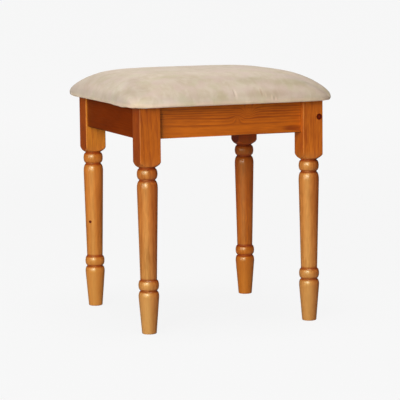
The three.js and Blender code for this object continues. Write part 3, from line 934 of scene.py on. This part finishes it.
def screw_head(radius, height, edge, shank, reach):
    """Pan head with a cross recess, its crown at -Z and a short length of shank."""
    steps, turns = 10, 40
    profile = [(0, -height)]
    for step in range(1, steps + 1):
        t = step / steps
        rise = t * t
        profile.append((radius * (2 * t * (1 - t) + rise), -height + (height - edge) * rise))
    profile += [(radius, 0), (shank, 0), (shank, reach), (0, reach)]
    vertices, faces = [], []
    for out, z in profile:
        for turn in range(turns):
            angle = math.tau * turn / turns
            vertices.append((out * math.cos(angle), out * math.sin(angle), z))
    for ring in range(len(profile) - 1):
        for turn in range(turns):
            a, b = ring * turns + turn, ring * turns + (turn + 1) % turns
            faces.append((a, a + turns, b + turns, b))
    head = new_piece("screw_head", vertices, faces)
    with reworked(head) as work:
        bmesh.ops.remove_doubles(work, verts=work.verts, dist=0.005 * MM)
        bmesh.ops.dissolve_degenerate(work, edges=work.edges, dist=0.001 * MM)
        bmesh.ops.recalc_face_normals(work, faces=work.faces)
    cutter = cross_cutter(radius * 0.56, radius * 0.15, height, height * 0.85)
    modified(head, "BOOLEAN", object=cutter, operation="DIFFERENCE", solver="EXACT")
    made_plain(head)
    remove(cutter)
    smooth(head, 30)
    return head


def cross_cutter(arm, half_width, height, depth):
    """Tapered cross that cuts the recess of a screw head."""
    cutter = new_piece("cross_cutter")
    with reworked(cutter) as work:
        for turn in (0, math.pi / 2):
            along = Vector((math.cos(turn), math.sin(turn), 0))
            spin = Vector((1, 0, 0)).rotation_difference(along)
            corners = []
            for level, taper in ((-height * 1.4, 1.1), (-height + depth, 0.45)):
                for x, y in ((-1, -1), (1, -1), (1, 1), (-1, 1)):
                    spot = Vector((x * arm * taper, y * half_width * (0.6 + 0.4 * taper), level))
                    spot.rotate(spin)
                    corners.append(work.verts.new(spot))
            low, high = corners[:4], corners[4:]
            work.faces.new(low[::-1])
            work.faces.new(high)
            for i in range(4):
                j = (i + 1) % 4
                work.faces.new((low[i], low[j], high[j], high[i]))
    modified(cutter, "REMESH", mode="VOXEL", voxel_size=0.12 * MM)
    made_plain(cutter)
    return cutter


def staple_wire(crown, width, thick, leg):
    """Crown of a staple with the start of its legs, the crown at -Z."""
    half = crown / 2
    flat = half - thick
    points = [(-half, leg), (-half, -thick * 0.2), (-flat, -thick), (flat, -thick),
              (half, -thick * 0.2), (half, leg)]
    vertices, faces = [], []
    for x, z in points:
        dx, dz = (0, thick) if abs(x) < half else (-math.copysign(thick, x), 0)
        for inner in (0, 1):
            for y in (-width / 2, width / 2):
                vertices.append((x + dx * inner, y, z + dz * inner))
    for a in range(0, 4 * len(points) - 4, 4):
        for p, q in ((0, 1), (1, 3), (3, 2), (2, 0)):
            faces.append((a + p, a + q, a + 4 + q, a + 4 + p))
    last = 4 * len(points) - 4
    faces += [(0, 2, 3, 1), (last, last + 1, last + 3, last + 2)]
    wire = new_piece("staple_wire", vertices, faces)
    face_out(wire)
    return wire


def fastener_form():
    """Tree that sets a copy of an object on each point, turned along the point's `drive`."""
    nodes, given = new_form("set_fasteners", {"Fastener": "Object", "Material": "Material"})
    shape = nodes.term("GeometryNodeObjectInfo", {"Object": given["Fastener"]}, "Geometry")
    drive, side = (
        nodes.term("GeometryNodeInputNamedAttribute", {"Name": name}, data_type="FLOAT_VECTOR")
        for name in ("drive", "side")
    )
    turn = nodes.term("FunctionNodeAxesToRotation", {"Primary Axis": drive, "Secondary Axis": side})
    values = {"Points": given["Geometry"], "Instance": shape, "Rotation": turn}
    copies = nodes.term("GeometryNodeInstanceOnPoints", values)
    return finish_form(nodes, copies, given["Material"])


def set_fasteners(name, fastener, material, rows):
    """A piece of copies of a fastener. Each row has its place, its drive and where its side faces."""
    places, *ways = zip(*rows)
    piece = new_piece(name, places)
    for label, way in zip(("drive", "side"), ways):
        layer = piece.data.attributes.new(label, "FLOAT_VECTOR", "POINT")
        for item, value in zip(layer.data, way):
            item.vector = value
    grow(piece, fastener_form(), fastener=fastener, material=material)
    return piece


class StoolScrews(bpy.types.Operator):
    """Drives the screws of the seat and of the corner blocks, and finishes the dowels"""

    bl_idname = "object.stool_screws"
    bl_label = "Screws"

    def execute(self, context):
        height = 2.6 * MM
        head = screw_head(
            radius=4 * MM, height=height, edge=1.2 * MM, shank=2 * MM, reach=9 * MM
        )
        rng = random.Random(7)
        pieces = {"seat_screws": ([], []), "block_screws": ([], [])}
        for corner, (side, end) in CORNERS.items():
            for piece, node, drive, upper in (
                ("seat_screws", f"seat_screw_{corner}", (0, 0, 1), (0, 1, 0)),
                ("block_screws", f"block_screw_{corner}_cross", (0, end, 0), (0, 0, 1)),
                ("block_screws", f"block_screw_{corner}_side", (side, 0, 0), (0, 0, 1)),
            ):
                drive, upper = Vector(drive), Vector(upper)
                low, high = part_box(node)
                tail = abs((high - low).dot(drive)) / 2 - height
                spin = rng.uniform(0, math.pi)
                facing = upper.cross(drive) * math.cos(spin) + upper * math.sin(spin)
                rows, nodes = pieces[piece]
                rows.append(((low + high) / 2 - drive * tail, drive, facing))
                nodes.append(node)
        material = zinc_plate("zinc_screw")
        for name, (rows, nodes) in pieces.items():
            place(set_fasteners(name, head, material, rows), "screw_steel", *nodes)
        remove(head)
        wood = small_finish(
            "beech_dowel", setting("stool_colours").beech, 0.66, flecked,
            relief=0.05, strength=0.4, rough=0.7,
        )
        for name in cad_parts:
            if name.startswith("dowel_"):
                dress_node(name, wood)
        return {"FINISHED"}


class StoolStaples(bpy.types.Operator):
    """Staples the lining to the board round its edge"""

    bl_idname = "object.stool_staples"
    bl_label = "Staples"

    def execute(self, context):
        low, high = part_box("dust_cloth")
        margin, pitch, notch = 9 * MM, 36 * MM, 62 * MM
        rows = []
        rng = random.Random(11)
        for side, edge in ((-1, low), (1, high)):
            for axis, across in ((0, 1), (1, 0)):
                first, last = low[axis] + notch, high[axis] - notch
                count = round((last - first) / pitch)
                for step in range(count + 1):
                    spot, facing = Vector((0, 0, low.z)), Vector((0, 0, 0))
                    spot[axis] = first + (last - first) * step / count + rng.uniform(-2, 2) * MM
                    spot[across] = edge[across] - side * margin + rng.uniform(-1.2, 1.2) * MM
                    facing[axis], facing[across] = 1, rng.uniform(-0.12, 0.12)
                    rows.append((spot, (0, 0, 1), facing.normalized()))
        staple = staple_wire(crown=10 * MM, width=1.1 * MM, thick=0.5 * MM, leg=1.4 * MM)
        piece = set_fasteners("lining_staples", staple, zinc_plate("staple_wire"), rows)
        smooth(piece, 40)
        remove(staple)
        place(piece, "screw_steel")
        return {"FINISHED"}


# Seat

class Pad:
    """Form of the padded seat, some distance inside the outer face of the cover."""

    def __init__(self, skin=0.0):
        sizes = setting("stool_seat")
        low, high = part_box("seat_cover")
        self.sizes = sizes
        self.half_x, self.half_y = high.x - skin, high.y - skin
        self.bottom = low.z + skin
        self.waist = low.z + sizes.side
        self.crown = high.z - self.waist - skin
        self.side = sizes.side - skin

    def plan(self, u, v, inset=0.0):
        """Place in plan of a point of the square from -1 to 1."""
        far, near = max(abs(u), abs(v)), min(abs(u), abs(v))
        power = self.sizes.plan_power
        tuck = (1 + (near / far) ** power) ** (-1 / power) if far else 1
        pulled = self.sizes.pull * (1 - clamp((inset - self.sizes.draw) / (20 * MM)))
        return u * tuck * (self.half_x - inset) - pulled, v * tuck * (self.half_y - inset)

    def top(self, u, v):
        """Point of the crown."""
        sizes = self.sizes
        over_x = (1 - abs(u) ** sizes.crown_power_x) ** sizes.crown_root_x
        over_y = (1 - abs(v) ** sizes.crown_power_y) ** sizes.crown_root_y
        return Vector((*self.plan(u, v), self.waist + self.crown * over_x * over_y))

    def even_shares(self, power, root, half):
        """Shares of a half width at equal steps along the arc of the crown, edge to edge."""
        cells, fine = self.sizes.cells, 2000
        spots = [math.sin(math.pi / 2 * i / fine) for i in range(fine + 1)]
        run = [0.0]
        for before, after in zip(spots, spots[1:]):
            rise = (1 - after ** power) ** root - (1 - before ** power) ** root
            run.append(run[-1] + math.hypot((after - before) * half, rise * self.crown))
        shares, at = [], 0
        for cell in range(cells):
            goal = run[-1] * cell / cells
            while run[at + 1] < goal:
                at += 1
            part = (goal - run[at]) / (run[at + 1] - run[at])
            shares.append(spots[at] + (spots[at + 1] - spots[at]) * part)
        shares.append(1.0)
        return [-s for s in shares[:0:-1]] + shares

    def mesh(self, hem):
        """Vertices and quads: crown, drawn-in side, and underside as far in as the hem."""
        sizes = self.sizes
        us = self.even_shares(sizes.crown_power_x, sizes.crown_root_x, self.half_x)
        vs = self.even_shares(sizes.crown_power_y, sizes.crown_root_y, self.half_y)
        count = len(us)
        last = count - 1
        vertices = [self.top(u, v) for v in vs for u in us]
        faces = [
            (r * count + c, r * count + c + 1, (r + 1) * count + c + 1, (r + 1) * count + c)
            for r in range(last) for c in range(last)
        ]
        edge = [(0, c) for c in range(last)] + [(r, last) for r in range(last)]
        edge += [(last, c) for c in range(last, 0, -1)] + [(r, 0) for r in range(last, 0, -1)]
        ring = [r * count + c for r, c in edge]
        rows = []
        for step in range(1, 9):
            angle = math.pi / 2 * step / 8
            inset = sizes.draw * (1 - math.cos(angle) ** sizes.lip_power)
            rows.append((inset, self.waist - self.side * math.sin(angle) ** sizes.lip_power))
        steps = max(2, round(hem / (8 * MM)))
        rows += [(sizes.draw + hem * step / steps, self.bottom) for step in range(1, steps + 1)]
        for inset, height in rows:
            first = len(vertices)
            vertices += [Vector((*self.plan(us[c], vs[r], inset), height)) for r, c in edge]
            fresh = list(range(first, len(vertices)))
            for i in range(len(ring)):
                j = (i + 1) % len(ring)
                faces.append((ring[j], ring[i], fresh[i], fresh[j]))
            ring = fresh
        return vertices, faces


class StoolFoam(bpy.types.Operator):
    """Lays the board and shapes the foam over it"""

    bl_idname = "object.stool_foam"
    bl_label = "Board and Foam"

    def execute(self, context):
        sizes, colours = setting("stool_seat"), setting("stool_colours")
        board = small_finish(
            "pressed_board", colours.board, 0.72, fibrous, relief=0.05, strength=0.5, rough=0.85
        )
        dress_node("seat_board", board)
        pad = Pad(sizes.fabric + sizes.gap + sizes.swell)
        foam = new_piece("foam_pad", *pad.mesh(hem=12 * MM))
        modified(foam, "SOLIDIFY", thickness=5 * MM, offset=-1)
        made_plain(foam)
        face_out(foam)
        smooth(foam, 60)
        material = small_finish(
            "cream_foam", colours.foam, 0.7, celled, relief=0.4, strength=0.8, rough=0.95
        )
        place(foam, "foam", "seat_foam", material=material)
        return {"FINISHED"}


def pull_folds(vertices, pad):
    """Lets the lip hang, and gathers the cloth in pleats near the corners, where it hangs lower."""
    sizes = pad.sizes
    slack = {(-1, -1): 1.0, (-1, 1): 0.4, (1, -1): 0.25, (1, 1): 0.25}
    for vertex in vertices:
        x = vertex[0] + sizes.pull
        gap_x, gap_y = pad.half_x - abs(x), pad.half_y - abs(vertex[1])
        inset, away = min(gap_x, gap_y), max(gap_x, gap_y)
        if inset > sizes.draw + 12 * MM or vertex[2] > pad.waist + 30 * MM:
            continue
        on_side = gap_x < gap_y
        fade, power, pitch = (104 * MM, 6, 6.2 * MM) if on_side else (56 * MM, 2, 3.4 * MM)
        loose = slack[1 if x > 0 else -1, 1 if vertex[1] > 0 else -1]
        reach = loose * math.exp(-(away / fade) ** power)
        scallop = 0.5 + 0.5 * math.cos(away / pitch + 2.5)
        down = clamp((pad.waist + 6 * MM - vertex[2]) / pad.side)
        down *= clamp((sizes.draw + 12 * MM - inset) / (8 * MM))
        lift = sizes.lift * min(1, away / (30 * MM)) if on_side and x < 0 else 0
        vertex[2] -= down * (sizes.hang - lift + sizes.sag * reach * (0.65 + 0.35 * scallop))
        low = clamp((pad.waist + 26 * MM - vertex[2]) / (26 * MM))
        low *= min(1, (away - inset) / (14 * MM))
        fold = sizes.pleat * 0.6 * (scallop - 0.5) * low * reach
        outward = 0 if on_side else 1
        vertex[outward] += fold * math.copysign(1, vertex[outward])


def ease_corners(cover, pad):
    """Smooths the crests of the four corners and fills them out above the waist."""
    with reworked(cover) as work:
        near = [
            vertex for vertex in work.verts
            if vertex.co.z > pad.waist + 8 * MM
            and pad.half_x - abs(vertex.co.x) < 70 * MM and pad.half_y - abs(vertex.co.y) < 70 * MM
        ]
        for turn in range(3):
            bmesh.ops.smooth_vert(
                work, verts=near, factor=0.5, use_axis_x=True, use_axis_y=True, use_axis_z=True
            )
        work.normal_update()
        for vertex in work.verts:
            spot = vertex.co
            away = math.hypot(pad.half_x - abs(spot.x), pad.half_y - abs(spot.y))
            above = clamp((spot.z - pad.waist) / (9 * MM), -0.4)
            push = pad.sizes.corner_fill * above * math.exp(-((away / (66 * MM)) ** 2))
            vertex.co += vertex.normal * push


def settle(cover, pad, held):
    """Lets the cloth swell and settle while its hem is held, and keeps it near its form."""
    start = [(vertex.co.copy(), vertex.normal.copy()) for vertex in cover.data.vertices]
    grip = cover.vertex_groups.new(name="stapled")
    for index, weight in held.items():
        grip.add([index], weight, "REPLACE")
    cloth = modified(cover, "CLOTH")
    for name, value in {
        "quality": 5, "mass": 0.25, "tension_stiffness": 12, "compression_stiffness": 12,
        "shear_stiffness": 4, "bending_stiffness": 0.6, "use_pressure": True,
        "uniform_pressure_force": 0.4, "vertex_group_mass": grip.name,
    }.items():
        setattr(cloth.settings, name, value)
    cloth.settings.effector_weights.gravity = 0
    cloth.collision_settings.use_collision = False
    scene, last = bpy.context.scene, 20
    cloth.point_cache.frame_start, cloth.point_cache.frame_end = 1, last
    for step in range(1, last + 1):
        scene.frame_set(step)
    made_plain(cover)
    for vertex, (home, outward) in zip(cover.data.vertices, start):
        move = vertex.co - home
        out = move.dot(outward)
        move += outward * (clamp(out, -0.4 * MM, 0.5 * MM) - out)
        if move.length > pad.sizes.swell:
            move = move.normalized() * pad.sizes.swell
        vertex.co = home + move
    scene.frame_set(1)


class StoolCover(bpy.types.Operator):
    """Stretches the cover over the foam and turns it under the board"""

    bl_idname = "object.stool_cover"
    bl_label = "Seat Cover"

    def execute(self, context):
        sizes = setting("stool_seat")
        pad = Pad()
        vertices, faces = pad.mesh(hem=sizes.hem)
        pull_folds(vertices, pad)
        cover = new_piece("fabric_cover", vertices, faces)
        ease_corners(cover, pad)
        held = {}
        for vertex in cover.data.vertices:
            if vertex.co.z < pad.bottom + 1.5 * MM:
                held[vertex.index] = 1.0
            elif vertex.co.z < pad.waist:
                held[vertex.index] = 0.35
        settle(cover, pad, held)
        modified(cover, "SUBSURF", levels=1, render_levels=1)
        modified(cover, "SOLIDIFY", thickness=sizes.fabric, offset=-1)
        made_plain(cover)
        smooth(cover, 60)
        place(cover, "seat_fabric", "seat_cover", material=cloth_nap("beige_nap"))
        return {"FINISHED"}


def lattice(low, high, stops, pitch):
    """Even steps from low to high that pass through the stops."""
    marks = [low, *stops, high]
    spots = []
    for start, end in zip(marks, marks[1:]):
        count = max(1, round((end - start) / pitch))
        spots += [start + (end - start) * step / count for step in range(count)]
    return spots + [high]


class StoolLining(bpy.types.Operator):
    """Hangs the lining under the seat"""

    bl_idname = "object.stool_lining"
    bl_label = "Lining"

    def execute(self, context):
        low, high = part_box("dust_cloth")
        leg_low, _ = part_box("leg_back_right")
        margin, pitch, eased = 1.5 * MM, 5 * MM, 20 * MM
        inner_x, inner_y = leg_low.x - margin, leg_low.y - margin
        columns = lattice(low.x, high.x, (-inner_x, inner_x), pitch)
        rows = lattice(low.y, high.y, (-inner_y, inner_y), pitch)
        index, vertices, faces = {}, [], []

        def point(c, r):
            if (c, r) not in index:
                x, y = columns[c], rows[r]
                ripple = noise.noise(Vector((x * 14, y * 14, 0.7))) * 0.25 * MM
                ripple *= min(1, (high.x - abs(x)) / eased, (high.y - abs(y)) / eased)
                index[c, r] = len(vertices)
                vertices.append((x, y, low.z + 0.3 * MM + ripple))
            return index[c, r]

        for c in range(len(columns) - 1):
            for r in range(len(rows) - 1):
                x, y = (columns[c] + columns[c + 1]) / 2, (rows[r] + rows[r + 1]) / 2
                if abs(x) > inner_x and abs(y) > inner_y:
                    continue
                faces.append((point(c, r), point(c, r + 1), point(c + 1, r + 1), point(c + 1, r)))
        lining = new_piece("lining_sheet", vertices, faces)
        modified(lining, "SOLIDIFY", thickness=0.4 * MM, offset=0)
        made_plain(lining)
        smooth(lining, 60)
        material = small_finish(
            "black_lining", setting("stool_colours").lining, 2.2, dimpled,
            relief=0.15, strength=0.8, rough=0.9, sheen=0.15,
        )
        place(lining, "lining_fabric", "dust_cloth", material=material)
        return {"FINISHED"}


# Stage

def direction(turn, rise):
    """Way to a place `turn` degrees left of the front and `rise` degrees up."""
    a, e = math.radians(turn), math.radians(rise)
    return Vector((-math.sin(a) * math.cos(e), -math.cos(a) * math.cos(e), math.sin(e)))


def softbox(name, turn, rise, distance, width, height, light):
    """Lamp that looks at the stool. `light` is what it adds to a white face turned to it."""
    way = direction(turn, rise)
    data = bpy.data.lights.new(name, "AREA")
    data.shape, data.size, data.size_y = "RECTANGLE", width, height
    data.energy = light * math.pi ** 2 * distance ** 2
    lamp = bpy.data.objects.new(name, data)
    lamp.location = Vector((0, 0, 0.25)) + way * distance
    lamp.rotation_mode = "QUATERNION"
    lamp.rotation_quaternion = way.to_track_quat("Z", "Y")
    bpy.context.collection.objects.link(lamp)


def ray_shares(nodes):
    """1 for a camera ray, and 1 for a reflected or refracted one."""
    path = nodes.add("ShaderNodeLightPath").outputs
    camera, glossy, through = (
        Term(nodes, path[f"Is {kind} Ray"]) for kind in ("Camera", "Glossy", "Transmission")
    )
    return camera, nodes.math("MAXIMUM", glossy, through)


class StoolStage(bpy.types.Operator):
    """Sets the floor, the lamps and the camera"""

    bl_idname = "object.stool_stage"
    bl_label = "Stage"

    def execute(self, context):
        stage = setting("stool_stage")
        scene = context.scene
        scene.view_settings.view_transform = "Standard"
        page = linear(stage.page)
        self.light_room(scene, stage, page)
        self.lay_floor(stage, page)
        for name, turn, rise, distance, width, height in (
            ("key", 40, 20, 6, 4.5, 4),
            ("side", 72, 14, 6, 2.4, 3),
            ("accent", 39, 17, 6, 1.4, 1.4),
            ("overhead", 10, 84, 4, 2.4, 2.4),
        ):
            softbox(name, turn, rise, distance, width, height, getattr(stage, name))
        self.set_camera(scene, stage)
        return {"FINISHED"}

    def light_room(self, scene, stage, page):
        """A dark room with a pale backdrop, which the camera sees everywhere."""
        world = bpy.data.worlds.new("room")
        world.use_nodes = True
        scene.world = world
        nodes = Nodes(world.node_tree)
        turn, reach = math.radians(stage.camera_turn), math.radians(stage.backdrop)
        way = nodes.term("ShaderNodeTexCoord", output="Generated")
        facing = nodes.vector("DOT_PRODUCT", way, (math.sin(turn), math.cos(turn), 0))
        edge, full = math.cos(reach), math.cos(reach * 0.7)
        shown = nodes.spread(facing, edge, full, 0.05 * stage.room, page * stage.mirrored)
        camera, mirrored = ray_shares(nodes)
        strength = nodes.ramp(mirrored, 0, 1, stage.room, shown)
        strength = nodes.ramp(camera, 0, 1, strength, page)
        values = {"Color": (1, 1, 1, 1), "Strength": strength}
        nodes.feed(world.node_tree.nodes["Background"], values)

    def lay_floor(self, stage, page):
        """A pale floor, lit round the stool. The camera sees it pale everywhere."""
        reach, sides = 30.0, 96
        angles = [math.tau * i / sides for i in range(sides)]
        ring = [(reach * math.cos(angle), reach * math.sin(angle), 0) for angle in angles]
        floor = new_piece("floor", ring, [tuple(range(sides))])
        material, nodes, shader, at = new_finish("pale_floor")
        away = nodes.vector("LENGTH", at)
        rim, dusk, far_bounce = stage.pool * 2.5, stage.pool * 7, 0.1
        pool = nodes.spread(away, stage.pool, rim, stage.mirrored, stage.far_mirrored)
        lit = nodes.spread(away, rim, dusk, stage.bounce, far_bounce)
        lamps = nodes.spread(away, 0.6, 5, 0.95 * stage.shadow, 0.1 * stage.shadow)
        camera, mirrored = ray_shares(nodes)
        seen = nodes.math("MAXIMUM", camera, mirrored)
        glow = mirrored * pool + camera
        nodes.feed(shader, {
            "Base Color": nodes.ramp(seen, 0, 1, lit, stage.shadow),
            "Roughness": 1, "Specular IOR Level": 0, "Emission Color": (1, 1, 1, 1),
            "Emission Strength": glow * nodes.math("SUBTRACT", page, lamps),
        })
        floor.data.materials.append(material)

    def set_camera(self, scene, stage):
        """The camera of the photograph."""
        turn, roll = math.radians(stage.camera_turn), math.radians(stage.camera_roll)
        back = direction(stage.camera_turn, stage.camera_rise)
        level = Vector((math.cos(turn), -math.sin(turn), 0))
        right = level * math.cos(roll) + back.cross(level) * math.sin(roll)
        data = bpy.data.cameras.new("camera")
        data.lens, data.sensor_width = stage.camera_lens, 36
        data.clip_start, data.clip_end = 0.1, 100
        camera = bpy.data.objects.new("camera", data)
        camera.location = Vector((stage.look_right, 0, stage.look_up)) + back * stage.camera_distance
        camera.rotation_mode = "QUATERNION"
        axes = Matrix((right, back.cross(right), back))
        camera.rotation_quaternion = axes.transposed().to_quaternion()
        bpy.context.collection.objects.link(camera)
        scene.camera = camera


class VIEW3D_PT_stool(bpy.types.Panel):
    """Buttons that make the stool piece by piece"""

    bl_label = "Vanity Stool"
    bl_space_type = "VIEW_3D"
    bl_region_type = "UI"
    bl_category = "Stool"

    def draw(self, context):
        for operator in OPERATORS:
            self.layout.operator(operator.bl_idname)


SETTINGS = {
    "stool_legs": StoolLegSettings, "stool_seat": StoolSeatSettings,
    "stool_colours": StoolColourSettings, "stool_stage": StoolStageSettings,
}
OPERATORS = (
    StoolStage, StoolLegs, StoolRails, StoolCornerBlocks, StoolScrews,
    StoolFoam, StoolCover, StoolLining, StoolStaples,
)


def register():
    for name, group in SETTINGS.items():
        bpy.utils.register_class(group)
        setattr(bpy.types.Scene, name, PointerProperty(type=group))
    for kind in (*OPERATORS, VIEW3D_PT_stool):
        bpy.utils.register_class(kind)


def unregister():
    for kind in (VIEW3D_PT_stool, *reversed(OPERATORS)):
        bpy.utils.unregister_class(kind)
    for name, group in SETTINGS.items():
        delattr(bpy.types.Scene, name)
        bpy.utils.unregister_class(group)


def main():
    register()
    for operator in OPERATORS:
        family, name = operator.bl_idname.split(".")
        getattr(getattr(bpy.ops, family), name)()


if __name__ == "__main__":
    main()
